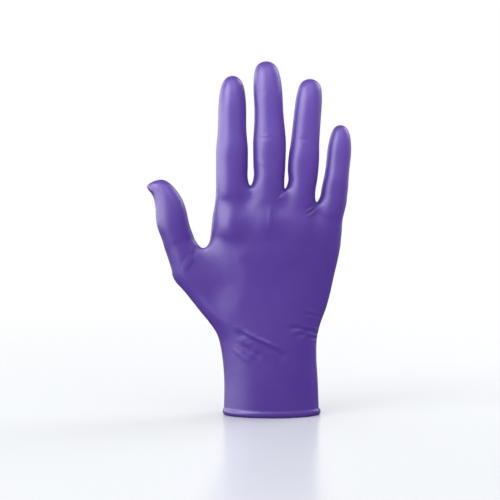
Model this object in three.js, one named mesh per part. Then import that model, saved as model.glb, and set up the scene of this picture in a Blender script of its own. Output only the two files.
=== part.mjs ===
// A nitrile exam glove in the form that a hand gives it: four fingers and a thumb, a back and a palm,
// a wrist with its gathers, and a straight cuff with a rolled bead at its mouth. The real glove is
// dipped in one piece, so it is one hollow solid: an outer skin, an inner skin one wall inside it, and
// the bead that joins the two round the open mouth.
// Millimetres. +Z runs from the mouth to the fingertips, -Y faces the back of the hand and -X the
// thumb. The origin is the middle of the mouth, level with the bead's lowest point.
import * as THREE from "three";
import { mergeVertices } from "three/addons/utils/BufferGeometryUtils.js";

// Film and bead.
const wall = 1.0;
const beadHeight = 4.4;
const beadThickness = 2.9;

// Cuff, wrist and palm. A reach runs from the cuff's side out to a wider place further up.
const cuffWidth = 64.2;
const cuffDepth = 40;
const thumbWebHeight = 113.5;
const thumbWebReach = 13.9;
const thumbWebForward = 2.5; // how far the thumb's web lies towards the palm
const thumbReach = 36.2;
const thumbLag = 10; // how far the thumb's outer root lies below the thumb's web
const thumbRootReach = 26.1; // from the cuff's side out to the middle of the thumb's root
const littleReach = 14.0;
const fingerWebHeight = 155.4;
const fingerSpread = 2.9; // how much the palm widens on the little finger's side, above the thumb
const indexSide = -37.6; // where the index finger's outer side stands
const webRise = 4.2; // height of a web's saddle above the skin at its two ends
const webSharpness = { fingers: 5, thumb: 4 }; // the higher, the shorter the valley below a web

// Digits. forward is how far the root lies towards the palm, gap is the space to the next finger at the
// web between them, webDrop is how far that web lies below fingerWebHeight, lean is in degrees towards
// the little finger and bow is a sideways curve.
const digits = {
  index: { length: 74.4, width: 21.5, depth: 20.2, forward: 0.4, gap: 3.8, webDrop: 0, lean: 0.3, bow: 0 },
  middle: {
    length: 85.2, width: 22.3, depth: 20.6, forward: 0, gap: 1.4, webDrop: 1.7, lean: -1.3, bow: 1.2,
  },
  ring: {
    length: 79.2, width: 20.9, depth: 19.6, forward: 0.8, gap: 1.8, webDrop: 11.5, lean: 5.1, bow: -0.5,
  },
  little: { length: 55.5, width: 18.1, depth: 17.2, forward: 2.2, gap: 0, webDrop: 17, lean: 6.8, bow: 0.6 },
};
const thumb = { length: 55.3, width: 21.4, depth: 19.6, forward: 6, lean: -20.2, bow: 0 };
const fingers = Object.values(digits);

// Columns across the back of one digit, and the points on one of its sides between back and palm.
const columns = 4;
const sidePoints = 3;

// Rings of the straight cuff, of the gathered wrist, of the lower palm and of the palm above the thumb.
const ringCounts = { cuff: 8, wrist: 9, palm: 10, knuckles: 8 };

// Sections from the mouth to the web between thumb and index finger. at is a share of that web's
// height, thumb and little are shares of thumbReach and littleReach, lag is a share of thumbLag, and
// back and palm are shares of half the cuff's depth.
const palmSections = [
  { at: 0.0, thumb: 0.005, little: 0.0, lag: 0.0, back: 1.0, palm: 1.0 },
  { at: 0.18, thumb: 0.0, little: -0.05, lag: 0.0, back: 0.985, palm: 0.985 },
  { at: 0.33, thumb: 0.035, little: -0.115, lag: 0.0, back: 0.955, palm: 0.955 },
  { at: 0.44, thumb: 0.095, little: -0.1, lag: 0.0, back: 0.92, palm: 0.92 },
  { at: 0.5, thumb: 0.16, little: -0.02, lag: 0.0, back: 0.89, palm: 0.9 },
  { at: 0.57, thumb: 0.28, little: 0.13, lag: 0.06, back: 0.855, palm: 0.89 },
  { at: 0.64, thumb: 0.42, little: 0.33, lag: 0.18, back: 0.825, palm: 0.88 },
  { at: 0.73, thumb: 0.6, little: 0.52, lag: 0.36, back: 0.8, palm: 0.87 },
  { at: 0.82, thumb: 0.775, little: 0.67, lag: 0.57, back: 0.795, palm: 0.85 },
  { at: 0.886, thumb: 0.91, little: 0.78, lag: 0.73, back: 0.8, palm: 0.83 },
  { at: 0.93, thumb: 0.965, little: 0.86, lag: 0.84, back: 0.805, palm: 0.81 },
  { at: 1.0, thumb: 1.0, little: 0.97, lag: 1.0, back: 0.815, palm: 0.78 },
];

// Sections from the thumb's web to the fingers' webs. at is the share of the way between them, index is
// the share of the way from the thumb's web to indexSide, and little is a share of fingerSpread.
const knuckleSections = [
  { at: 0.0, index: 0.0, little: -0.14, back: 0.815, palm: 0.78 },
  { at: 0.155, index: 0.38, little: 0.1, back: 0.825, palm: 0.76 },
  { at: 0.28, index: 0.55, little: 0.25, back: 0.835, palm: 0.74 },
  { at: 0.41, index: 0.62, little: 0.36, back: 0.84, palm: 0.72 },
  { at: 0.54, index: 0.69, little: 0.46, back: 0.825, palm: 0.705 },
  { at: 0.67, index: 0.78, little: 0.56, back: 0.785, palm: 0.685 },
  { at: 0.8, index: 0.91, little: 0.6, back: 0.725, palm: 0.66 },
  { at: 1.0, index: 1.0, little: 0.85, back: 0.6, palm: 0.61 },
];

// Sections of the four fingers, with the tip as the last. at and curl are shares of the finger's
// length, curl towards the palm. The named columns are shares of each finger's width, and depth is a
// share of its depth.
const fingerSections = [
  { at: 0.07, index: 1.0, middle: 0.94, ring: 0.95, little: 1.03, depth: 1.06, curl: 0 },
  { at: 0.15, index: 1.0, middle: 0.965, ring: 0.985, little: 1.0, depth: 1.0, curl: 0.001 },
  { at: 0.24, index: 1.0, middle: 0.985, ring: 1.0, little: 0.98, depth: 0.97, curl: 0.003 },
  { at: 0.33, index: 1.0, middle: 1.0, ring: 0.99, little: 0.935, depth: 0.97, curl: 0.009 },
  { at: 0.42, index: 0.945, middle: 0.965, ring: 0.94, little: 0.905, depth: 0.93, curl: 0.024 },
  { at: 0.51, index: 0.9, middle: 0.91, ring: 0.91, little: 0.895, depth: 0.89, curl: 0.042 },
  { at: 0.61, index: 0.885, middle: 0.875, ring: 0.895, little: 0.9, depth: 0.87, curl: 0.062 },
  { at: 0.71, index: 0.88, middle: 0.88, ring: 0.88, little: 0.885, depth: 0.86, curl: 0.083 },
  { at: 0.8, index: 0.835, middle: 0.86, ring: 0.86, little: 0.82, depth: 0.83, curl: 0.106 },
  { at: 0.87, index: 0.765, middle: 0.81, ring: 0.81, little: 0.735, depth: 0.77, curl: 0.126 },
  { at: 0.925, index: 0.655, middle: 0.72, ring: 0.73, little: 0.615, depth: 0.67, curl: 0.143 },
  { at: 0.965, index: 0.49, middle: 0.575, ring: 0.58, little: 0.46, depth: 0.52, curl: 0.156 },
  { at: 1.0, index: 0, middle: 0, ring: 0, little: 0, depth: 0, curl: 0.167 },
];

// Sections of the thumb, with its tip, in the same shares of its own sizes. shift is a sideways step
// towards the hand, as a share of its length.
const thumbSections = [
  { at: 0.13, width: 1.02, depth: 1.08, curl: 0.0, shift: -0.014 },
  { at: 0.22, width: 1.0, depth: 1.0, curl: -0.01, shift: -0.014 },
  { at: 0.32, width: 0.98, depth: 0.96, curl: -0.015, shift: -0.011 },
  { at: 0.42, width: 1.01, depth: 0.94, curl: -0.015, shift: -0.007 },
  { at: 0.52, width: 1.025, depth: 0.91, curl: -0.01, shift: 0.005 },
  { at: 0.62, width: 0.975, depth: 0.86, curl: 0.0, shift: 0.021 },
  { at: 0.72, width: 0.885, depth: 0.8, curl: 0.015, shift: 0.033 },
  { at: 0.81, width: 0.785, depth: 0.74, curl: 0.035, shift: 0.029 },
  { at: 0.88, width: 0.725, depth: 0.66, curl: 0.052, shift: 0.012 },
  { at: 0.935, width: 0.685, depth: 0.56, curl: 0.066, shift: -0.019 },
  { at: 0.975, width: 0.56, depth: 0.42, curl: 0.076, shift: -0.045 },
  { at: 1.0, width: 0, depth: 0, curl: 0.085, shift: -0.045 },
];

// How much deeper than the digit itself its root is, on the back and on the palm.
const rootSwell = { back: 1.1, palm: 1.2 };

// Bulges and hollows. side is -1 on the back and 1 on the palm. x is a share of half the cuff's width,
// z, wide and tall are shares of fingerWebHeight, and height is in millimetres.
const bulges = [
  { name: "index knuckle", side: -1, x: -0.88, z: 0.83, wide: 0.085, tall: 0.105, height: 2.6 },
  { name: "middle knuckle", side: -1, x: -0.05, z: 0.85, wide: 0.08, tall: 0.11, height: 2.2 },
  { name: "ring knuckle", side: -1, x: 0.6, z: 0.82, wide: 0.07, tall: 0.1, height: 0.6 },
  { name: "little knuckle", side: -1, x: 1.18, z: 0.76, wide: 0.065, tall: 0.1, height: 0.5 },
  { name: "thumb knuckle", side: -1, x: -1.95, z: 0.6, wide: 0.08, tall: 0.11, height: 1.4 },
  { name: "hollow behind the thumb", side: -1, x: -1.1, z: 0.6, wide: 0.13, tall: 0.2, height: -2.2 },
  { name: "ball of the thumb", side: 1, x: -1.05, z: 0.5, wide: 0.17, tall: 0.25, height: 6.5 },
  { name: "heel of the palm", side: 1, x: 0.8, z: 0.5, wide: 0.13, tall: 0.25, height: 3.5 },
  { name: "hollow of the palm", side: 1, x: 0.0, z: 0.66, wide: 0.17, tall: 0.24, height: -3.6 },
  { name: "pads of index and middle", side: 1, x: -0.5, z: 0.88, wide: 0.2, tall: 0.12, height: 1.4 },
  { name: "pads of ring and little", side: 1, x: 0.85, z: 0.83, wide: 0.2, tall: 0.12, height: 1.6 },
];

// Folds of the film. Each runs from one x and z to another, in the shares of the bulges, and is a
// groove with a small ridge along each edge. wide is a share of fingerWebHeight, depth in millimetres.
const folds = [
  { name: "wrist, middle", side: -1, x: [-0.7, 0.22], z: [0.366, 0.272], wide: 0.022, depth: 1.2 },
  { name: "wrist, lower", side: -1, x: [-0.56, -0.18], z: [0.31, 0.25], wide: 0.018, depth: 0.8 },
  { name: "wrist, upper little side", side: -1, x: [0.46, 1.02], z: [0.389, 0.351], wide: 0.018, depth: 1.1 },
  { name: "wrist, lower little side", side: -1, x: [0.53, 1.02], z: [0.361, 0.32], wide: 0.018, depth: 1.0 },
  { name: "palm wrist, thumb side", side: 1, x: [-0.85, -0.05], z: [0.385, 0.34], wide: 0.026, depth: 0.9 },
  { name: "palm wrist, little side", side: 1, x: [0.1, 0.85], z: [0.33, 0.375], wide: 0.026, depth: 0.8 },
  { name: "thumb crease", side: 1, x: [-0.8, -0.3], z: [0.72, 0.5], wide: 0.03, depth: 1.0 },
];

// Reads one column of a table at any height, on a smooth curve through its rows.
function columnAt(rows, name, at) {
  const last = rows.length - 1;
  let row = 0;
  while (row < last - 1 && rows[row + 1].at < at) row += 1;
  const slopeAt = (index) => {
    const before = rows[Math.max(index - 1, 0)];
    const after = rows[Math.min(index + 1, last)];
    return (after[name] - before[name]) / (after.at - before.at);
  };
  const span = rows[row + 1].at - rows[row].at;
  const share = THREE.MathUtils.clamp((at - rows[row].at) / span, 0, 1);
  const rise = rows[row + 1][name] - rows[row][name];
  const bend = (slopeAt(row) * span - rise) * (1 - share);
  const lift = (slopeAt(row + 1) * span - rise) * share;
  return rows[row][name] + rise * share + share * (1 - share) * (bend - lift);
}

function ease(share) {
  return THREE.MathUtils.smoothstep(share, 0, 1);
}

// One section of the skin: a back row from the thumb's side to the little finger's, then that side, a
// palm row running home again and the thumb's side. Its points stand at even steps round an ellipse
// whose ends are two given points.
function sectionLoop(start, end, back, palm, columnCount) {
  const half = (sidePoints + 1) / 2;
  const step = Math.PI / (columnCount + sidePoints + 1);
  const pointAt = (turn) => {
    const depth = Math.sin(turn * step);
    const point = start.clone().lerp(end, (1 - Math.cos(turn * step)) / 2);
    point.y -= depth * (depth > 0 ? back : palm);
    return point;
  };
  const run = (from, count) => Array.from({ length: count }, (_, index) => pointAt(from + index));
  const row = columnCount + 1;
  return {
    back: run(half, row),
    end: run(half + row, sidePoints),
    palm: run(half + row + sidePoints, row),
    start: run(half + 2 * row + sidePoints, sidePoints),
  };
}

function middleOf(first, second) {
  return first.clone().lerp(second, 0.5);
}

// Sets sections side by side as one, with a shared point where two of them meet.
function joinLoops(loops) {
  const joinRows = (rows) => rows.reduce((joined, row) => [
    ...joined.slice(0, -1),
    middleOf(joined.at(-1), row[0]),
    ...row.slice(1),
  ]);
  return {
    back: joinRows(loops.map((loop) => loop.back)),
    end: loops.at(-1).end,
    palm: joinRows(loops.map((loop) => loop.palm).reverse()),
    start: loops[0].start,
  };
}

function blendLoops(first, second, share) {
  const blended = {};
  for (const part of Object.keys(first)) {
    blended[part] = first[part].map((point, index) => point.clone().lerp(second[part][index], share));
  }
  return blended;
}

// Cuts one section into its digits' sections. Two neighbours share the saddle of the web between them.
function splitLoop(loop, columnCounts) {
  const total = columnCounts.reduce((sum, count) => sum + count, 0);
  const webAt = (column) => {
    const back = loop.back[column];
    const palm = loop.palm[total - column];
    return Array.from({ length: sidePoints }, (_, index) => {
      const share = (index + 1) / (sidePoints + 1);
      const point = back.clone().lerp(palm, share);
      point.z += webRise * (1 - (2 * share - 1) ** 2);
      return point;
    });
  };
  const parts = [];
  let first = 0;
  for (const count of columnCounts) {
    const last = first + count;
    parts.push({
      back: loop.back.slice(first, last + 1),
      end: last === total ? loop.end : webAt(last),
      palm: loop.palm.slice(total - last, total - first + 1),
      start: first === 0 ? loop.start : webAt(first).reverse(),
    });
    first = last;
  }
  return parts;
}

function pointsOf(loop) {
  return [...loop.back, ...loop.end, ...loop.palm, ...loop.start];
}

// The skin, as triangles with their faces pointing out.
const triangles = [];

function addQuad(a, b, c, d) {
  triangles.push(a, b, c, a, c, d);
}

// Joins a row of sections, each to the one above it.
function addTube(loops) {
  for (let level = 1; level < loops.length; level += 1) {
    const lower = pointsOf(loops[level - 1]);
    const upper = pointsOf(loops[level]);
    lower.forEach((point, index) => {
      const next = (index + 1) % lower.length;
      addQuad(point, lower[next], upper[next], upper[index]);
    });
  }
}

// Closes a digit with a dome over its last section: a square grid whose rows run from back to palm.
function addDome(loop, tip) {
  const size = columns;
  const half = size / 2;
  const edgePoint = (row, column) => {
    if (row === 0) return loop.back[column];
    if (row === size) return loop.palm[size - column];
    if (column === 0) return loop.start[size - 1 - row];
    return loop.end[row - 1];
  };
  const centre = middleOf(
    middleOf(edgePoint(0, half), edgePoint(size, half)),
    middleOf(edgePoint(half, 0), edgePoint(half, size)),
  );
  const rise = tip.clone().sub(centre);
  const gridPoint = (row, column) => {
    if (row % size === 0 || column % size === 0) return edgePoint(row, column);
    const down = row / size;
    const across = column / size;
    const between = edgePoint(0, column).clone().lerp(edgePoint(size, column), down);
    const beside = edgePoint(row, 0).clone().lerp(edgePoint(row, size), across);
    const corners = edgePoint(0, 0).clone().lerp(edgePoint(0, size), across)
      .lerp(edgePoint(size, 0).clone().lerp(edgePoint(size, size), across), down);
    const lift = (1 - (2 * down - 1) ** 2) * (1 - (2 * across - 1) ** 2);
    return between.add(beside).sub(corners).addScaledVector(rise, lift);
  };
  for (let row = 0; row < size; row += 1) {
    for (let column = 0; column < size; column += 1) {
      addQuad(
        gridPoint(row, column),
        gridPoint(row, column + 1),
        gridPoint(row + 1, column + 1),
        gridPoint(row + 1, column),
      );
    }
  }
}

// A digit from its root to its tip. Up to turnShare of its length, its sections turn from the slope
// between its two webs to the slope across its own axis.
const turnShare = 0.35;

function addDigit(digit, rootLoop, sections, widthColumn) {
  const lean = THREE.MathUtils.degToRad(digit.lean);
  const along = new THREE.Vector3(Math.sin(lean), 0, Math.cos(lean));
  const middleAt = (section) => {
    const middle = digit.root.clone().addScaledVector(along, digit.length * section.at);
    middle.x += digit.bow * Math.sin(Math.PI * section.at) + digit.length * (section.shift ?? 0);
    middle.y += digit.length * section.curl;
    return middle;
  };
  const loops = [rootLoop];
  for (const section of sections.slice(0, -1)) {
    const middle = middleAt(section);
    const slope = THREE.MathUtils.lerp(digit.rootSlope, -lean, ease(section.at / turnShare));
    const half = new THREE.Vector3(Math.cos(slope), 0, Math.sin(slope))
      .multiplyScalar((digit.width * section[widthColumn]) / 2);
    const depth = (digit.depth * section.depth) / 2;
    loops.push(sectionLoop(middle.clone().sub(half), middle.clone().add(half), depth, depth, columns));
  }
  addTube(loops);
  addDome(loops.at(-1), middleAt(sections.at(-1)));
}

// Where the fingers stand: each starts at the last one's side plus the gap between them.
const firstSection = fingerSections[0];
let side = indexSide;
let webHeight = fingerWebHeight;
const fingerWebs = [];
for (const [name, finger] of Object.entries(digits)) {
  const rootWidth = finger.width * firstSection[name];
  const nextWeb = fingerWebHeight - finger.webDrop;
  finger.root = new THREE.Vector3(side + rootWidth / 2, finger.forward, (webHeight + nextWeb) / 2);
  finger.rootSlope = Math.atan2(nextWeb - webHeight, rootWidth + finger.gap);
  side += rootWidth + finger.gap;
  webHeight = nextWeb;
  fingerWebs.push(new THREE.Vector3(side - finger.gap / 2, finger.forward, nextWeb - webRise));
}
fingerWebs.pop();

// The rails that the palm's sections run between.
const cuffSide = cuffWidth / 2;
const cuffRadius = cuffDepth / 2;
const splitHeight = thumbWebHeight - webRise;
const thumbWeb = new THREE.Vector3(-cuffSide - thumbWebReach, thumbWebForward, splitHeight);
const palmColumns = columns * fingers.length;
const allColumns = palmColumns + columns;
const thumbStart = 0.45; // share of the height of the thumb's web where its form begins
const outerColumnShare = (1 - Math.cos(Math.PI / 4)) / 2; // of the width, beyond the back's first column
const rootSharpness = 2; // the higher, the nearer to the fingers' webs the palm takes on their depths

// A section of the cuff, the wrist or the lower palm, at a share of the height of the thumb's web. The
// thumb's form grows out of it towards the top.
function lowerLoop(at) {
  const height = THREE.MathUtils.lerp(beadHeight, splitHeight, at);
  const read = (name) => columnAt(palmSections, name, at);
  const thumbGrowth = ease((at - thumbStart) / (1 - thumbStart));
  const start = new THREE.Vector3(
    -cuffSide - thumbReach * read("thumb"),
    thumb.forward * thumbGrowth,
    height - thumbLag * read("lag"),
  );
  const end = new THREE.Vector3(cuffSide + littleReach * read("little"), 0, height);
  const back = cuffRadius * read("back");
  const palm = cuffRadius * read("palm");
  const topShare = (thumbWeb.x + cuffSide + thumbReach) / (2 * cuffSide + thumbReach + littleReach);
  const web = start.clone().lerp(end, THREE.MathUtils.lerp(outerColumnShare, topShare, at));
  web.y = thumbWebForward * thumbGrowth;
  web.z = height;
  const whole = sectionLoop(start, end, back, palm, allColumns);
  const thumbBack = THREE.MathUtils.lerp(back, (thumb.depth / 2) * rootSwell.back, thumbGrowth);
  const thumbPalm = THREE.MathUtils.lerp(palm, (thumb.depth / 2) * rootSwell.palm, thumbGrowth);
  const lobed = joinLoops([
    sectionLoop(start, web, thumbBack, thumbPalm, columns),
    sectionLoop(web, end, back, palm, palmColumns),
  ]);
  return blendLoops(whole, lobed, thumbGrowth * at ** webSharpness.thumb);
}

// A section of the palm between the thumb's web and the fingers' webs, at a share of the way. The
// fingers' forms grow out of it towards the top.
function upperLoop(at) {
  const read = (name) => columnAt(knuckleSections, name, at);
  const handSide = cuffSide + littleReach;
  const topStart = fingerWebHeight - webRise;
  const topEnd = webHeight - webRise;
  const start = new THREE.Vector3(
    THREE.MathUtils.lerp(thumbWeb.x, indexSide, read("index")),
    THREE.MathUtils.lerp(thumbWebForward, digits.index.forward, ease(at)),
    THREE.MathUtils.lerp(splitHeight, topStart, at),
  );
  const end = new THREE.Vector3(
    handSide + fingerSpread * read("little"),
    digits.little.forward * at,
    THREE.MathUtils.lerp(splitHeight, topEnd, at),
  );
  const back = cuffRadius * read("back");
  const palm = cuffRadius * read("palm");
  const topWidth = handSide + fingerSpread - indexSide;
  const marks = fingerWebs.map((web) => {
    const mark = start.clone().lerp(end, (web.x - indexSide) / topWidth);
    mark.y = THREE.MathUtils.lerp(mark.y, web.y, at);
    mark.z = THREE.MathUtils.lerp(splitHeight, web.z, at);
    return mark;
  });
  const rails = [start, ...marks, end];
  const lobed = joinLoops(fingers.map((finger, index) => (
    sectionLoop(
      rails[index],
      rails[index + 1],
      THREE.MathUtils.lerp(back, (finger.depth / 2) * rootSwell.back, at ** rootSharpness),
      THREE.MathUtils.lerp(palm, (finger.depth / 2) * rootSwell.palm, at ** rootSharpness),
      columns,
    )
  )));
  const whole = sectionLoop(start, end, back, palm, palmColumns);
  return blendLoops(whole, lobed, at ** webSharpness.fingers);
}

// The shares of height at which the lower rings stand, close together where the wrist gathers.
const wristStart = 0.36;
const wristEnd = 0.58;
const lowerShares = [];
for (const [from, to, count] of [
  [0, wristStart, ringCounts.cuff],
  [wristStart, wristEnd, ringCounts.wrist],
  [wristEnd, 1, ringCounts.palm],
]) {
  for (let ring = 0; ring < count; ring += 1) {
    lowerShares.push(THREE.MathUtils.lerp(from, to, ring / count));
  }
}
const lowerLoops = [...lowerShares, 1].map(lowerLoop);
addTube(lowerLoops);

const [thumbRoot, handRoot] = splitLoop(lowerLoops.at(-1), [columns, palmColumns]);
const outerRoot = new THREE.Vector3(-cuffSide - thumbReach, thumb.forward, splitHeight - thumbLag);
thumb.rootSlope = Math.atan2(thumbLag, thumbWeb.x - outerRoot.x);
thumb.root = middleOf(outerRoot, thumbWeb);
thumb.root.x = -cuffSide - thumbRootReach;
thumb.root.y = thumb.forward;
thumb.root.z += webRise / 2;
addDigit(thumb, thumbRoot, thumbSections, "width");

const firstRing = knuckleSections[1].at;
const upperLoops = [handRoot];
for (let ring = 0; ring < ringCounts.knuckles; ring += 1) {
  upperLoops.push(upperLoop(THREE.MathUtils.lerp(firstRing, 1, ring / (ringCounts.knuckles - 1))));
}
addTube(upperLoops);
const fingerRoots = splitLoop(upperLoops.at(-1), fingers.map(() => columns));
Object.entries(digits).forEach(([name, finger], index) => {
  addDigit(finger, fingerRoots[index], fingerSections, name);
});

// The skin as one indexed surface, so that each corner has one place and one direction.
const sameCorner = 0.001; // corners closer than this are one

function surfaceOf(points) {
  const surface = new THREE.BufferGeometry().setFromPoints(points);
  const merged = mergeVertices(surface, sameCorner);
  merged.computeVertexNormals();
  return merged;
}

// How far the bulges and folds move the skin at a point, along the direction that it faces.
function reliefAt(point, direction) {
  let height = 0;
  for (const bulge of bulges) {
    const across = (point.x - bulge.x * cuffSide) / (bulge.wide * fingerWebHeight);
    const up = (point.z - bulge.z * fingerWebHeight) / (bulge.tall * fingerWebHeight);
    const away = across ** 2 + up ** 2;
    const facing = Math.max(direction.y * bulge.side, 0);
    if (away < 1) height += bulge.height * facing * (1 - away) ** 2;
  }
  for (const fold of folds) {
    const line = new THREE.Line3(
      new THREE.Vector3(fold.x[0] * cuffSide, 0, fold.z[0] * fingerWebHeight),
      new THREE.Vector3(fold.x[1] * cuffSide, 0, fold.z[1] * fingerWebHeight),
    );
    const flat = new THREE.Vector3(point.x, 0, point.z);
    const nearest = line.closestPointToPoint(flat, true, new THREE.Vector3());
    const away = nearest.distanceTo(flat) / (fold.wide * fingerWebHeight);
    const facing = Math.max(direction.y * fold.side, 0);
    if (away < 1) height -= fold.depth * facing * (1 - away ** 2) * (1 - 2 * away ** 2);
  }
  return height;
}

function movedAlong(surface, distanceAt) {
  const { position, normal } = surface.attributes;
  const point = new THREE.Vector3();
  const direction = new THREE.Vector3();
  const places = [];
  for (let index = 0; index < position.count; index += 1) {
    point.fromBufferAttribute(position, index);
    direction.fromBufferAttribute(normal, index);
    places.push(point.clone().addScaledVector(direction, distanceAt(point, direction)));
  }
  return places;
}

const smooth = surfaceOf(triangles);
const outerPlaces = movedAlong(smooth, reliefAt);
const corners = Array.from(smooth.index.array);
const outer = surfaceOf(corners.map((corner) => outerPlaces[corner]));
const outerCorners = Array.from(outer.index.array);
const skin = movedAlong(outer, () => 0);
const lining = movedAlong(outer, () => -wall);
const solid = outerCorners.map((corner) => skin[corner]);
for (let index = 0; index < outerCorners.length; index += 3) {
  const [a, b, c] = outerCorners.slice(index, index + 3);
  solid.push(lining[a], lining[c], lining[b]);
}

// The bead: round the mouth, an ellipse from the outer skin's lowest ring under to the lining's.
const beadSteps = 8;
const nearestCorner = (goal) => {
  const distances = skin.map((place) => place.distanceTo(goal));
  return distances.indexOf(Math.min(...distances));
};
const mouth = pointsOf(lowerLoops[0]).map(nearestCorner);
const beadRows = mouth.map((corner) => {
  const outside = skin[corner];
  const inside = lining[corner];
  const middle = middleOf(outside, inside);
  const outward = outside.clone().sub(inside).setZ(0).normalize();
  const first = Math.asin(Math.min(wall / beadThickness, 1));
  const centreHeight = beadHeight / 2;
  const row = [outside];
  for (let step = 1; step < beadSteps; step += 1) {
    const angle = THREE.MathUtils.lerp(first, 2 * Math.PI - first, step / beadSteps);
    const place = middle.clone().addScaledVector(outward, (beadThickness / 2) * Math.sin(angle));
    place.z = centreHeight + centreHeight * Math.cos(angle);
    row.push(place);
  }
  row.push(inside);
  return row;
});
beadRows.forEach((row, index) => {
  const next = beadRows[(index + 1) % beadRows.length];
  for (let step = 0; step < beadSteps; step += 1) {
    solid.push(row[step], row[step + 1], next[step + 1], row[step], next[step + 1], next[step]);
  }
});

const nitrile = new THREE.MeshStandardMaterial({ color: 0x6b4aa5, roughness: 0.45, metalness: 0 });
const glove = new THREE.Mesh(surfaceOf(solid), nitrile);
glove.name = "glove";

const part = new THREE.Group();
part.add(glove);
export default part;
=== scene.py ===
import math

import bmesh
import bpy
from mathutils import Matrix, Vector
from mathutils.geometry import intersect_point_line


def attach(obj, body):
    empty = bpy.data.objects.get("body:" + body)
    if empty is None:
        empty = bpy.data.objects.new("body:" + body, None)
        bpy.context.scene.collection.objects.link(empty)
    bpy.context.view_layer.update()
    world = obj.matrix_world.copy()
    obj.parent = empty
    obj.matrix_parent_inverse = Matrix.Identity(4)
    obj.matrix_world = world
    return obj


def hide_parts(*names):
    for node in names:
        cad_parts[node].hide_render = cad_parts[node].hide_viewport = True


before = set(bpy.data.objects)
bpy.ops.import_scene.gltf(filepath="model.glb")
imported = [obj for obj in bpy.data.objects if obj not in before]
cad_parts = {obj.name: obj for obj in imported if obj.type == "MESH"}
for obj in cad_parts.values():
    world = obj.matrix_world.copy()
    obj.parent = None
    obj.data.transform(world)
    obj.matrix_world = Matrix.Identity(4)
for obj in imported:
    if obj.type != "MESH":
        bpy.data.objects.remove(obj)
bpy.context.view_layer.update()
scene = bpy.context.scene
mm = 0.001
white = (1, 1, 1, 1)


# Colours are typed as sRGB hex, as a colour picker gives them
def colour(hexCode):
    channels = [int(hexCode[i:i + 2], 16) / 255 for i in (1, 3, 5)]
    linear = [c / 12.92 if c <= 0.04045 else ((c + 0.055) / 1.055) ** 2.4 for c in channels]
    return (*linear, 1)


# Adds one node, with its settings, fixed inputs and incoming links
def addNode(tree, kind, settings=None, inputs=None, links=None):
    node = tree.nodes.new(kind)
    for name, value in (settings or {}).items():
        setattr(node, name, value)
    for name, value in (inputs or {}).items():
        node.inputs[name].default_value = value
    for name, socket in (links or {}).items():
        tree.links.new(socket, node.inputs[name])
    return node


def newMaterial(name):
    material = bpy.data.materials.new(name)
    material.use_nodes = True
    material.node_tree.nodes.clear()
    return material, material.node_tree


def place(name, data):
    shape = bpy.data.objects.new(name, data)
    scene.collection.objects.link(shape)
    return shape


def smoothStep(low, high, value):
    share = min(max((value - low) / (high - low), 0), 1)
    return share * share * (3 - 2 * share)


# Camera, where the photographer stood: level with the palm, with a long lens
view = {
    "target": Vector((-14.6, 0, 111.7)) * mm,
    "distance": 1.1,
    "elevation": 3,
    "lens": 117,
    "sensor": 36,
    "nearest": 0.05,  # m, where the camera starts to see
}

cameraData = bpy.data.cameras.new("camera")
cameraData.lens = view["lens"]
cameraData.sensor_width = view["sensor"]
cameraData.clip_start = view["nearest"]
camera = place("camera", cameraData)
tilt = math.radians(view["elevation"])
camera.location = view["target"] + Vector((0, -math.cos(tilt), math.sin(tilt))) * view["distance"]
camera.rotation_euler = (math.pi / 2 - tilt, 0, 0)
scene.camera = camera
print("camera placed")


# Dipped nitrile film. The purple is in the rubber, and the chlorine wash leaves a satin surface
# with a fine skin-like grain. Up the glove the purple is painted paler and duller: partly the film
# stretched thin over the fingers, partly a painted highlight for their brighter sheen.
nitrileLook = {
    "purple": "#472889",
    "cloudy": "#4c2d90",
    # paler purple painted up the fingers: partly stretched film, partly a painted highlight
    "stretchedAndLit": "#5a3d9e",
    "cloudSize": 16,  # mm across one cloudy patch of the dip
    "grainSize": 0.9,  # mm, because the real grain is finer than the render can show
    "grainDepth": 0.045,
    "pullSize": 6,  # mm between the soft waves that the dip leaves
    "pullDepth": 0.12,
    "smoothest": 0.34,
    "roughest": 0.44,
    "ior": 1.52,
    "sheen": 0.04,  # the powdery bloom of the washed face
    "sheenRoughness": 0.4,
}


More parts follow.
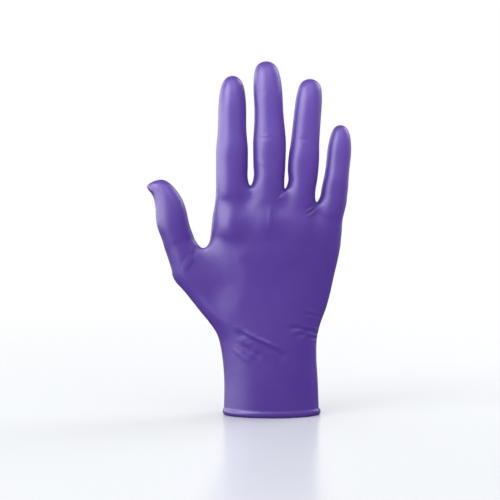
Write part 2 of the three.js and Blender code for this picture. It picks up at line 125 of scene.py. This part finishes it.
def dippedNitrile():
    material, tree = newMaterial("dippedNitrile")
    spot = addNode(tree, "ShaderNodeTexCoord").outputs["Object"]
    clouds = addNode(
        tree, "ShaderNodeTexNoise",
        inputs={"Scale": 1000 / nitrileLook["cloudSize"], "Detail": 3, "Roughness": 0.5},
        links={"Vector": spot},
    )
    dipped = addNode(
        tree, "ShaderNodeMix", {"data_type": "RGBA"},
        {6: colour(nitrileLook["purple"]), 7: colour(nitrileLook["cloudy"])},
        {0: clouds.outputs["Fac"]},
    )
    # The stretch attribute pales the purple up the fingers: partly stretched film, partly painted
    # highlight
    stretchAndHighlight = addNode(tree, "ShaderNodeAttribute", {"attribute_name": "stretchAndHighlight"})
    tone = addNode(
        tree, "ShaderNodeMix", {"data_type": "RGBA"},
        {7: colour(nitrileLook["stretchedAndLit"])},
        {0: stretchAndHighlight.outputs["Fac"], 6: dipped.outputs[2]},
    )
    satin = addNode(
        tree, "ShaderNodeMapRange",
        inputs={"To Min": nitrileLook["smoothest"], "To Max": nitrileLook["roughest"]},
        links={"Value": clouds.outputs["Fac"]},
    )
    pulls = addNode(
        tree, "ShaderNodeTexNoise",
        inputs={"Scale": 1000 / nitrileLook["pullSize"], "Detail": 2},
        links={"Vector": spot},
    )
    grain = addNode(
        tree, "ShaderNodeTexNoise",
        inputs={"Scale": 1000 / nitrileLook["grainSize"], "Detail": 2},
        links={"Vector": spot},
    )
    waves = addNode(
        tree, "ShaderNodeBump",
        inputs={"Strength": 1, "Distance": nitrileLook["pullDepth"] * mm},
        links={"Height": pulls.outputs["Fac"]},
    )
    relief = addNode(
        tree, "ShaderNodeBump",
        inputs={"Strength": 1, "Distance": nitrileLook["grainDepth"] * mm},
        links={"Height": grain.outputs["Fac"], "Normal": waves.outputs["Normal"]},
    )
    film = addNode(
        tree, "ShaderNodeBsdfPrincipled",
        inputs={
            "IOR": nitrileLook["ior"],
            "Sheen Weight": nitrileLook["sheen"],
            "Sheen Roughness": nitrileLook["sheenRoughness"],
        },
        links={
            "Base Color": tone.outputs[2],
            "Roughness": satin.outputs[0],
            "Normal": relief.outputs["Normal"],
        },
    )
    addNode(tree, "ShaderNodeOutputMaterial", links={"Surface": film.outputs["BSDF"]})
    return material


# The glove: an outer skin and a lining, joined by the roll at the mouth. Lengths are in millimetres.
glove = {
    "mouth": 4.4,  # height at which the film turns into its roll
    "beadGap": 0.4,  # how far under that height the solid's own bead is cut away
    "film": 1.0,  # the real 0.12 mm is too thin to keep as a solid
    "rollThickness": 2.9,
    "rollSteps": 16,
    "rollUneven": 0.05,  # share by which the roll's thickness wanders
    "rollWaves": [(3, 0.6, 0.5), (7, 2, 0.3), (13, 0, 0.2)],  # waves round, start and share of each
    "knob": {"at": 8, "wide": 14, "thicker": 0.3},  # degrees round from the little finger's side
    "stretchAndHighlight": {"from": 118, "to": 190, "most": 0.75},  # mm up, where the film is pulled thin and also painted paler as a painted highlight
    "smoothing": {"outside": 2, "inside": 1},  # levels
    "corrections": 3,  # rounds that fill a skin out before it is smoothed
}

# Folds of the worn film, as points across and up in millimetres. Wide is the spread of a fold, and
# rise is how far it stands out of the film, or is pressed into it where it is negative.
folds = {
    "back": [
        # the wrist, towards the thumb
        {"path": [(-22, 60.2), (-9, 53), (-1.6, 50.1), (8, 45)], "wide": 1.2, "rise": 0.95},
        {"path": [(-24, 57.6), (-7.7, 49.6), (8, 41.6)], "wide": 2.4, "rise": 0.6},
        {"path": [(-24, 49.5), (-16, 43.6), (-9, 38)], "wide": 1.3, "rise": 0.4},
        {"path": [(-27, 47), (-20, 41.2), (-14, 36)], "wide": 1.4, "rise": 0.25},
        # the wrist, towards the little finger
        {"path": [(12, 63.6), (21.8, 61), (35, 57.2)], "wide": 0.9, "rise": 0.45},
        {"path": [(12, 59.6), (21.8, 56.9), (35, 52.2)], "wide": 1.2, "rise": 0.6},
        {"path": [(14, 56), (22, 53.2), (35, 48)], "wide": 1.2, "rise": 0.35},
        {"path": [(20, 72.6), (27, 70.8), (34, 68.2)], "wide": 1.0, "rise": 0.4},
        {"path": [(20, 70), (27, 68.4), (34, 65.6)], "wide": 0.9, "rise": -0.3},
        {"path": [(21, 68.2), (27, 66.8), (34, 64)], "wide": 0.9, "rise": 0.35},
        # between the middle and ring fingers
        {
            "path": [(11.6, 156.5), (9.5, 153.7), (5.1, 148.3), (2.6, 146)],
            "wide": 0.9,
            "rise": -0.9,
        },
        {
            "path": [(12.6, 154.6), (10.4, 151.6), (7.4, 148.5), (3.4, 145)],
            "wide": 0.8,
            "rise": 0.7,
        },
        # between the ring and little fingers
        {"path": [(31.5, 145.6), (27.1, 141.8), (22, 138.4)], "wide": 0.8, "rise": -0.9},
        {"path": [(31.5, 143.8), (27.3, 140.2), (21.5, 137.2)], "wide": 0.7, "rise": 0.7},
        {"path": [(31.5, 142.6), (27.6, 138.8), (22.5, 135.8)], "wide": 0.7, "rise": -0.7},
        {"path": [(32.5, 142), (28.4, 137.6), (22.5, 133.6)], "wide": 0.9, "rise": 0.5},
        # the middle knuckle, flattened, with the tendon's line over it
        {"path": [(-1.4, 112), (-1.4, 150)], "wide": 11.0, "rise": -1.1},
        {"path": [(-1, 145), (-1.2, 136), (-1.6, 124)], "wide": 1.4, "rise": 0.45},
        # the full film from the thumb down to the wrist, and the thumb's own crease
        {"path": [(-37, 48), (-42, 82), (-44, 116)], "wide": 17.0, "rise": 1.3},
        {"path": [(-49, 115), (-52, 110), (-55, 104.5)], "wide": 1.1, "rise": -0.35},
        # the joints of the middle finger, then of the ring finger
        {"path": [(-12, 191), (-7, 189.6), (-1, 190.6)], "wide": 0.7, "rise": -0.3},
        {"path": [(-12, 188.4), (-6, 187), (1, 188)], "wide": 0.7, "rise": -0.3},
        {"path": [(-12, 172), (-5, 169.6), (2, 167)], "wide": 0.9, "rise": 0.25},
        {"path": [(-12, 219.4), (-7, 218), (-2, 218.8)], "wide": 0.6, "rise": -0.2},
        {"path": [(17, 187), (21, 186), (26, 187)], "wide": 0.7, "rise": -0.3},
        # the line that runs down the cuff near its right edge
        {
            "path": [(29.2, 56), (28.9, 39), (29.7, 25), (30.3, 12), (30.8, 3)],
            "wide": 0.7,
            "rise": 0.4,
        },
    ],
    "palm": [
        # the wrist
        {"path": [(-30, 62), (-12, 57.5), (8, 58.5)], "wide": 1.4, "rise": -0.6},
        {"path": [(-26, 58.6), (-8, 54.6), (12, 55.6)], "wide": 1.3, "rise": 0.4},
        {"path": [(2, 52), (16, 53.6), (31, 58)], "wide": 1.3, "rise": -0.5},
        # the crease round the thumb's ball and the two across the palm
        {
            "path": [(-37, 124), (-20, 121), (-9, 110), (-6, 96), (-9, 80)],
            "wide": 1.6,
            "rise": -0.8,
        },
        {"path": [(-36, 126), (-14, 124), (8, 114), (24, 98)], "wide": 1.5, "rise": -0.6},
        {"path": [(-10, 142), (-2, 133), (18, 127), (43, 126)], "wide": 1.5, "rise": -0.6},
    ],
}

# Where each finger's joints crease the film on the palm side, as middle, half width and heights.
# A crease sags in its middle. On the ring and little fingers, which fan out, it also moves outwards
# by the lean for each millimetre that it is higher than the finger's first crease.
palmJoints = [
    {"across": -26.8, "half": 9, "heights": [153, 171, 173.4, 195]},
    {"across": -4, "half": 9, "heights": [154, 188, 190.6, 214]},
    {"across": 21, "half": 9, "heights": [151, 174, 176.4, 198]},
    {"across": 41, "half": 8, "heights": [136, 152, 154, 171]},
]
palmCrease = {"wide": 1.1, "rise": -0.45, "sag": 1.2, "lean": 0.1}

# How the folds are pressed
pressing = {
    "reach": 2.4,  # widths from a fold's line at which it ends
    "fine": 2,  # mm, and a narrower fold gets smaller faces
    "fadeIn": (0, 0.35),  # shares of a fold's length
    "fadeOut": (0.65, 1),
    "facing": (0.05, 0.35),  # how squarely the film has to face the fold's side
}

# The oval on the back of the hand, in millimetres, where the film spans smoothly from the thumb to
# the knuckles. It is relaxed in rings, each smaller than the last, so its edge doesn't show.
taut = {
    "middle": (-45, 99),
    "across": 29,
    "up": 25,
    "rings": 10,
    "shrink": 0.7,  # share of the oval's size that the rings lose in all
    "strength": 0.5,  # of one round
    "fullAt": 4,  # the first ring to have the full strength
    "rounds": 16,  # on each ring
    "facing": 0.25,  # how squarely the film has to face the back
}


# One of the two skins of the CAD solid, as the four-sided faces that it was lofted from
def openShell(outermost):
    form = bmesh.new()
    form.from_mesh(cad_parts["glove"].data)
    bmesh.ops.remove_doubles(form, verts=form.verts, dist=0.01 * mm)
    lowest = (glove["mouth"] - glove["beadGap"]) * mm
    rolled = [v for v in form.verts if v.co.z < lowest]
    bmesh.ops.delete(form, geom=rolled, context="VERTS")
    # With the bead gone the skins are apart, and the outer one holds the highest corner
    first = max(form.verts, key=lambda v: v.co.z)
    joined = {first}
    waiting = [first]
    while waiting:
        corner = waiting.pop()
        for edge in corner.link_edges:
            other = edge.other_vert(corner)
            if other not in joined:
                joined.add(other)
                waiting.append(other)
    unwanted = [v for v in form.verts if (v in joined) != outermost]
    bmesh.ops.delete(form, geom=unwanted, context="VERTS")
    bmesh.ops.join_triangles(
        form, faces=form.faces, topology_influence=1,
        angle_face_threshold=math.pi, angle_shape_threshold=math.pi,
    )
    return form


# The form after subdivision, as a new one whose first corners are the old ones
def subdivided(form, levels):
    mesh = bpy.data.meshes.new("form")
    form.to_mesh(mesh)
    shape = place("form", mesh)
    smoothing = shape.modifiers.new("smoothing", "SUBSURF")
    smoothing.levels = smoothing.render_levels = levels
    finer = bmesh.new()
    finer.from_object(shape, bpy.context.evaluated_depsgraph_get())
    bpy.data.objects.remove(shape)
    bpy.data.meshes.remove(mesh)
    return finer


# Subdivision pulls a form in, so its corners first move out by as much as they would lose
def filledOut(form):
    wanted = [v.co.copy() for v in form.verts]
    for _ in range(glove["corrections"]):
        pulledIn = subdivided(form, 1)
        for corner, goal, reached in zip(form.verts, wanted, pulledIn.verts):
            corner.co += goal - reached.co
        pulledIn.free()


# Cuts the corners of a path twice, so that it runs in a soft curve
def softened(path):
    for _ in range(2):
        cut = [path[0]]
        for a, b in zip(path, path[1:]):
            cut += [a.lerp(b, 0.25), a.lerp(b, 0.75)]
        path = cut + [path[-1]]
    return path


# A fold's path as vectors, with its lengths and the box that the fold can reach
def foldToPress(side, row):
    path = softened([Vector((x, z, 0)) * mm for x, z in row["path"]])
    reach = pressing["reach"] * row["wide"] * mm
    return {
        "side": side,
        "path": path,
        "lengths": [(b - a).length for a, b in zip(path, path[1:])],
        "reach": reach,
        "wide": row["wide"] * mm,
        "rise": row["rise"] * mm,
        "low": (min(p.x for p in path) - reach, min(p.y for p in path) - reach),
        "high": (max(p.x for p in path) + reach, max(p.y for p in path) + reach),
    }


# The back of the hand faces the camera, at -Y, and the palm faces away from it
def foldsToPress():
    ready = [foldToPress(-1, row) for row in folds["back"]]
    ready += [foldToPress(1, row) for row in folds["palm"]]
    for joint in palmJoints:
        half = joint["half"]
        for height in joint["heights"]:
            up = height - joint["heights"][0]
            middle = joint["across"] + palmCrease["lean"] * up * (joint["across"] > 0)
            sagging = (middle, height - palmCrease["sag"])
            path = [(middle - half, height), sagging, (middle + half, height)]
            ready.append(foldToPress(1, {**palmCrease, "path": path}))
    return ready


# How far a corner lies from a fold's line and how far along it, or None where it is out of reach
def nearFold(fold, corner):
    x, z = corner.co.x, corner.co.z
    if corner.normal.y * fold["side"] < pressing["facing"][0]:
        return None
    if not (fold["low"][0] < x < fold["high"][0] and fold["low"][1] < z < fold["high"][1]):
        return None
    flat = Vector((x, z, 0))
    best = (fold["reach"], 0)
    travelled = 0
    for a, b, length in zip(fold["path"], fold["path"][1:], fold["lengths"]):
        share = min(max(intersect_point_line(flat, a, b)[1], 0), 1)
        away = (flat - a.lerp(b, share)).length
        if away < best[0]:
            best = (away, (travelled + share * length) / sum(fold["lengths"]))
        travelled += length
    return best if best[0] < fold["reach"] else None


# Evens the film out in the oval, and most in its middle
def relaxFilm(form):
    form.normal_update()
    x, z = taut["middle"]
    for ring in range(taut["rings"]):
        share = 1 - taut["shrink"] * ring / taut["rings"]
        inside = []
        for corner in form.verts:
            across = (corner.co.x / mm - x) / taut["across"]
            up = (corner.co.z / mm - z) / taut["up"]
            if corner.normal.y < -taut["facing"] and math.hypot(across, up) < share:
                inside.append(corner)
        factor = taut["strength"] * min((ring + 1) / taut["fullAt"], 1)
        for _ in range(taut["rounds"]):
            bmesh.ops.smooth_vert(
                form, verts=inside, factor=factor,
                use_axis_x=True, use_axis_y=True, use_axis_z=True,
            )


# Halves the faces round the narrow folds, then moves the corners near each fold along their normals
def pressFolds(form):
    form.normal_update()
    ready = foldsToPress()
    narrow = [fold for fold in ready if fold["wide"] < pressing["fine"] * mm]
    near = {v for v in form.verts if any(nearFold(fold, v) for fold in narrow)}
    edges = [e for e in form.edges if not e.is_boundary and near.issuperset(e.verts)]
    bmesh.ops.subdivide_edges(form, edges=edges, cuts=1, use_grid_fill=True)
    form.normal_update()
    for fold in ready:
        moves = {}
        for corner in form.verts:
            found = nearFold(fold, corner)
            if found:
                away, along = found
                profile = math.exp(-(away / fold["wide"]) ** 2) - math.exp(-pressing["reach"] ** 2)
                fade = smoothStep(*pressing["fadeIn"], along)
                fade *= 1 - smoothStep(*pressing["fadeOut"], along)
                facing = smoothStep(*pressing["facing"], corner.normal.y * fold["side"])
                moves[corner] = fold["rise"] * profile * fade * facing
        for corner, distance in moves.items():
            corner.co += corner.normal * distance


# How thick the roll is where it runs at a corner of the mouth
def rollThickness(corner):
    turn = math.atan2(-corner.co.y, corner.co.x)
    wander = 0
    for waves, start, share in glove["rollWaves"]:
        wander += math.sin(waves * turn + start) * share
    knob = glove["knob"]
    bulge = knob["thicker"] * math.exp(-((math.degrees(turn) - knob["at"]) / knob["wide"]) ** 2)
    return glove["rollThickness"] * (1 + glove["rollUneven"] * wander + bulge)


# Turns the skin's open edge out, down and in again, as the roll that the film ends in
def rollMouth(form):
    form.normal_update()
    edges = [e for e in form.edges if e.is_boundary]
    start = {}
    for corner in {v for e in edges for v in e.verts}:
        outward = Vector((corner.normal.x, corner.normal.y, 0)).normalized()
        start[corner] = (corner.co.copy(), outward, rollThickness(corner))
    half = glove["mouth"] / 2
    for step in range(1, glove["rollSteps"]):
        made = bmesh.ops.extrude_edge_only(form, edges=edges)["geom"]
        edges = [g for g in made if isinstance(g, bmesh.types.BMEdge)]
        moved = {}
        for corner in (g for g in made if isinstance(g, bmesh.types.BMVert)):
            others = [e.other_vert(corner) for e in corner.link_edges]
            source = next(other for other in others if other in start)
            origin, outward, thick = start[source]
            first = math.asin(glove["film"] / thick)
            turn = first + (2 * math.pi - 2 * first) * step / glove["rollSteps"]
            out = thick / 2 * math.sin(turn) - glove["film"] / 2
            corner.co = origin + outward * out * mm
            corner.co.z = (half + half * math.cos(turn)) * mm
            moved[corner] = start[source]
        start = moved
    return edges


def makeGlove():
    skin = openShell(True)
    filledOut(skin)
    outside = subdivided(skin, glove["smoothing"]["outside"])
    print("skin smoothed:", len(outside.faces), "faces")
    relaxFilm(outside)
    pressFolds(outside)
    rollEnd = rollMouth(outside)
    print("folds pressed, mouth rolled")
    lining = openShell(False)
    filledOut(lining)
    inside = subdivided(lining, glove["smoothing"]["inside"])
    mesh = bpy.data.meshes.new("glove")
    inside.to_mesh(mesh)
    # The lining is added behind the outer skin, so the roll's last edges keep their numbers
    outside.edges.index_update()
    rollEnd = [e.index for e in rollEnd]
    outside.from_mesh(mesh)
    outside.edges.ensure_lookup_table()
    rollEnd = [outside.edges[i] for i in rollEnd]
    liningEnd = [e for e in outside.edges if e.is_boundary and e not in rollEnd]
    bmesh.ops.bridge_loops(outside, edges=rollEnd + liningEnd)
    bmesh.ops.recalc_face_normals(outside, faces=outside.faces)
    for face in outside.faces:
        face.smooth = True
    outside.to_mesh(mesh)
    openEdges = sum(e.is_boundary for e in outside.edges)
    print("skins joined:", len(outside.faces), "faces,", openEdges, "open edges")
    piece = place("gloveFilm", mesh)
    # Paler film painted by height alone, up the fingers: partly the film pulled thin, partly a
    # painted highlight
    pulledAndLit = glove["stretchAndHighlight"]
    tint = mesh.attributes.new("stretchAndHighlight", "FLOAT", "POINT")
    for spot, corner in zip(tint.data, mesh.vertices):
        share = smoothStep(pulledAndLit["from"] * mm, pulledAndLit["to"] * mm, corner.co.z)
        spot.value = pulledAndLit["most"] * share
    mesh.materials.append(dippedNitrile())
    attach(piece, "root")
    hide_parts("glove")


makeGlove()
print("glove made")


# Table: a white acrylic sheet with a fine satin face, which blurs the glove's reflection. Away from
# the glove it fades into the white studio, on every side.
table = {
    "size": 6.0,  # m from its middle to each edge
    "white": "#cbced2",
    "roughness": 0.24,
    "ior": 1.49,
    "fadeFrom": 0.2,  # m from the glove
    "fadeTo": 0.8,
}


def whiteAcrylic():
    material, tree = newMaterial("whiteAcrylic")
    sheet = addNode(
        tree, "ShaderNodeBsdfPrincipled",
        inputs={
            "Base Color": colour(table["white"]),
            "Roughness": table["roughness"],
            "IOR": table["ior"],
        },
    )
    spot = addNode(tree, "ShaderNodeTexCoord").outputs["Object"]
    away = addNode(tree, "ShaderNodeVectorMath", {"operation": "LENGTH"}, links={0: spot})
    fade = addNode(
        tree, "ShaderNodeMapRange", {"interpolation_type": "SMOOTHSTEP"},
        {"From Min": table["fadeFrom"], "From Max": table["fadeTo"]},
        {"Value": away.outputs["Value"]},
    )
    glow = addNode(tree, "ShaderNodeEmission", inputs={"Color": white, "Strength": 1.0})
    whole = addNode(
        tree, "ShaderNodeMixShader",
        links={0: fade.outputs[0], 1: sheet.outputs[0], 2: glow.outputs[0]},
    )
    addNode(tree, "ShaderNodeOutputMaterial", links={"Surface": whole.outputs[0]})
    return material


def makeTable():
    form = bmesh.new()
    bmesh.ops.create_grid(form, x_segments=1, y_segments=1, size=table["size"])
    mesh = bpy.data.meshes.new("table")
    form.to_mesh(mesh)
    top = place("table", mesh)
    mesh.materials.append(whiteAcrylic())
    top.visible_glossy = False


makeTable()
print("table made")

# Soft boxes. Turn is in degrees from the camera's side, positive to the right. They only show in the
# film's gloss, as a polarised or flagged soft box does, apart from those that light all.
lamps = {
    "wash": {"turn": -50, "height": 40, "size": (0.9, 0.9), "power": 8, "lightsAll": True},
    "fill": {
        "turn": 125,
        "height": 38,
        "away": 1.3,
        "size": (0.7, 0.7),
        "power": 6,
        "lightsAll": True,
    },
    "sheenLeft": {"turn": -76, "height": 8, "size": (1.8, 0.9), "power": 27},
    "sheenUpper": {"turn": -60, "height": 48, "size": (0.9, 0.8), "power": 13},
    "sheenTop": {"turn": 5, "height": 68, "size": (1.0, 0.9), "power": 7},
    "sheenRight": {"turn": 45, "height": 46, "size": (0.8, 0.8), "power": 1.2},
    "rimLeft": {"turn": -128, "height": 14, "size": (1.0, 1.2), "power": 12},
    "rimRight": {"turn": 128, "height": 14, "size": (1.0, 1.2), "power": 3},
    "wall": {"turn": 180, "height": 3, "away": 2.2, "size": (1.6, 0.9), "power": 4.5},
}
studio = {
    "lampsFace": (-0.015, 0, 0.12),  # the middle of the hand
    "lampsAway": 1.4,  # m, where a lamp names no distance of its own
    "seen": 1.0,  # how white the surround is to the camera
    "light": 1.25,  # how much it lights the glove
}


def hangLamps():
    middle = Vector(studio["lampsFace"])
    for name, lamp in lamps.items():
        data = bpy.data.lights.new(name, "AREA")
        data.shape = "RECTANGLE"
        data.size, data.size_y = lamp["size"]
        data.energy = lamp["power"]
        turn, height = math.radians(lamp["turn"]), math.radians(lamp["height"])
        level = math.cos(height)
        towards = Vector((math.sin(turn) * level, -math.cos(turn) * level, math.sin(height)))
        shape = place(name, data)
        shape.location = middle + towards * lamp.get("away", studio["lampsAway"])
        shape.rotation_euler = (-towards).to_track_quat("-Z", "Y").to_euler()
        shape.visible_diffuse = lamp.get("lightsAll", False)


def paintSurround():
    world = bpy.data.worlds.new("studio")
    world.use_nodes = True
    world.cycles_visibility.glossy = False
    tree = world.node_tree
    tree.nodes.clear()
    seen, light = (
        addNode(tree, "ShaderNodeBackground", inputs={"Color": white, "Strength": studio[use]})
        for use in ("seen", "light")
    )
    path = addNode(tree, "ShaderNodeLightPath")
    mixed = addNode(
        tree, "ShaderNodeMixShader",
        links={0: path.outputs["Is Camera Ray"], 1: light.outputs[0], 2: seen.outputs[0]},
    )
    addNode(tree, "ShaderNodeOutputWorld", links={"Surface": mixed.outputs[0]})
    scene.world = world


hangLamps()
paintSurround()
scene.view_settings.view_transform = "Standard"
print("studio lit")
